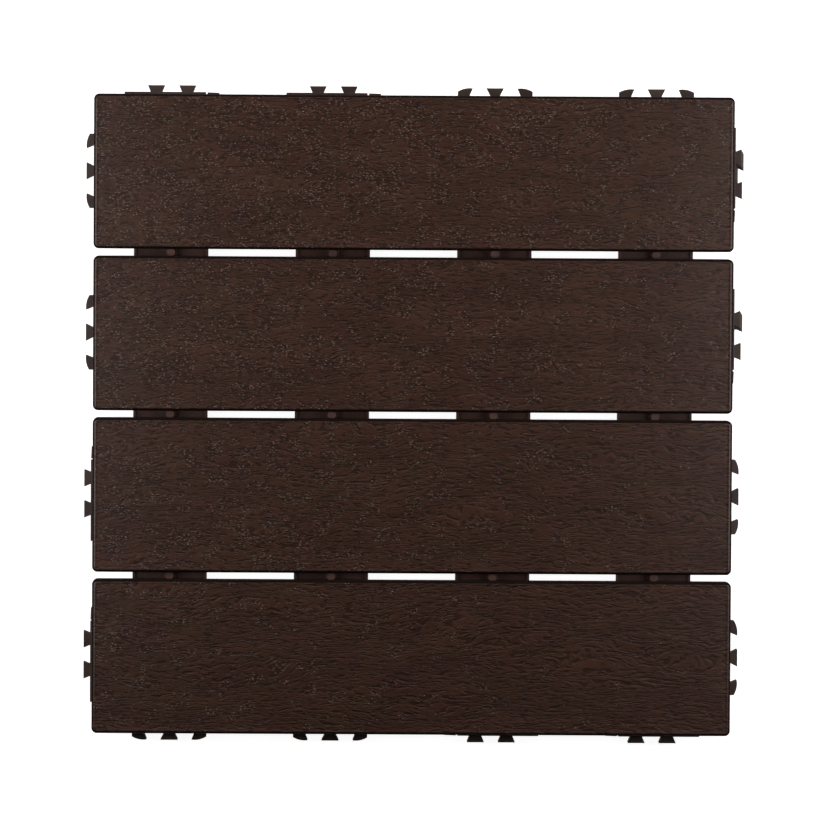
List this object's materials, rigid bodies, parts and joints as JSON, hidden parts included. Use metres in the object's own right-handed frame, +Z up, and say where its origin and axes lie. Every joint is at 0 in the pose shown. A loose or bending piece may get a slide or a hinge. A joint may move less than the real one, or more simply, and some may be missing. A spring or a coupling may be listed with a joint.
{
  "type": "interlocking deck tile",
  "caption": "Square plastic deck tile: ribbed slats with embossed wood grain, snapped onto an open base grid whose edges carry dovetail tongues and sockets.",
  "frame": {"origin": "under the middle of the tile, in the plane that its feet stand on", "axes": "+X along the slats, +Y across them, +Z up out of the walking surface"},
  "size_m": [0.3044, 0.3032, 0.02],
  "materials": {
    "base_plastic": "satin",
    "slat_plastic": "satin, embossed wood grain"
  },
  "bodies": {
    "root": {"base_grid": "base_plastic", "slat_1": "slat_plastic", "slat_2": "slat_plastic", "slat_3": "slat_plastic", "slat_4": "slat_plastic"}
  },
  "joints": []
}
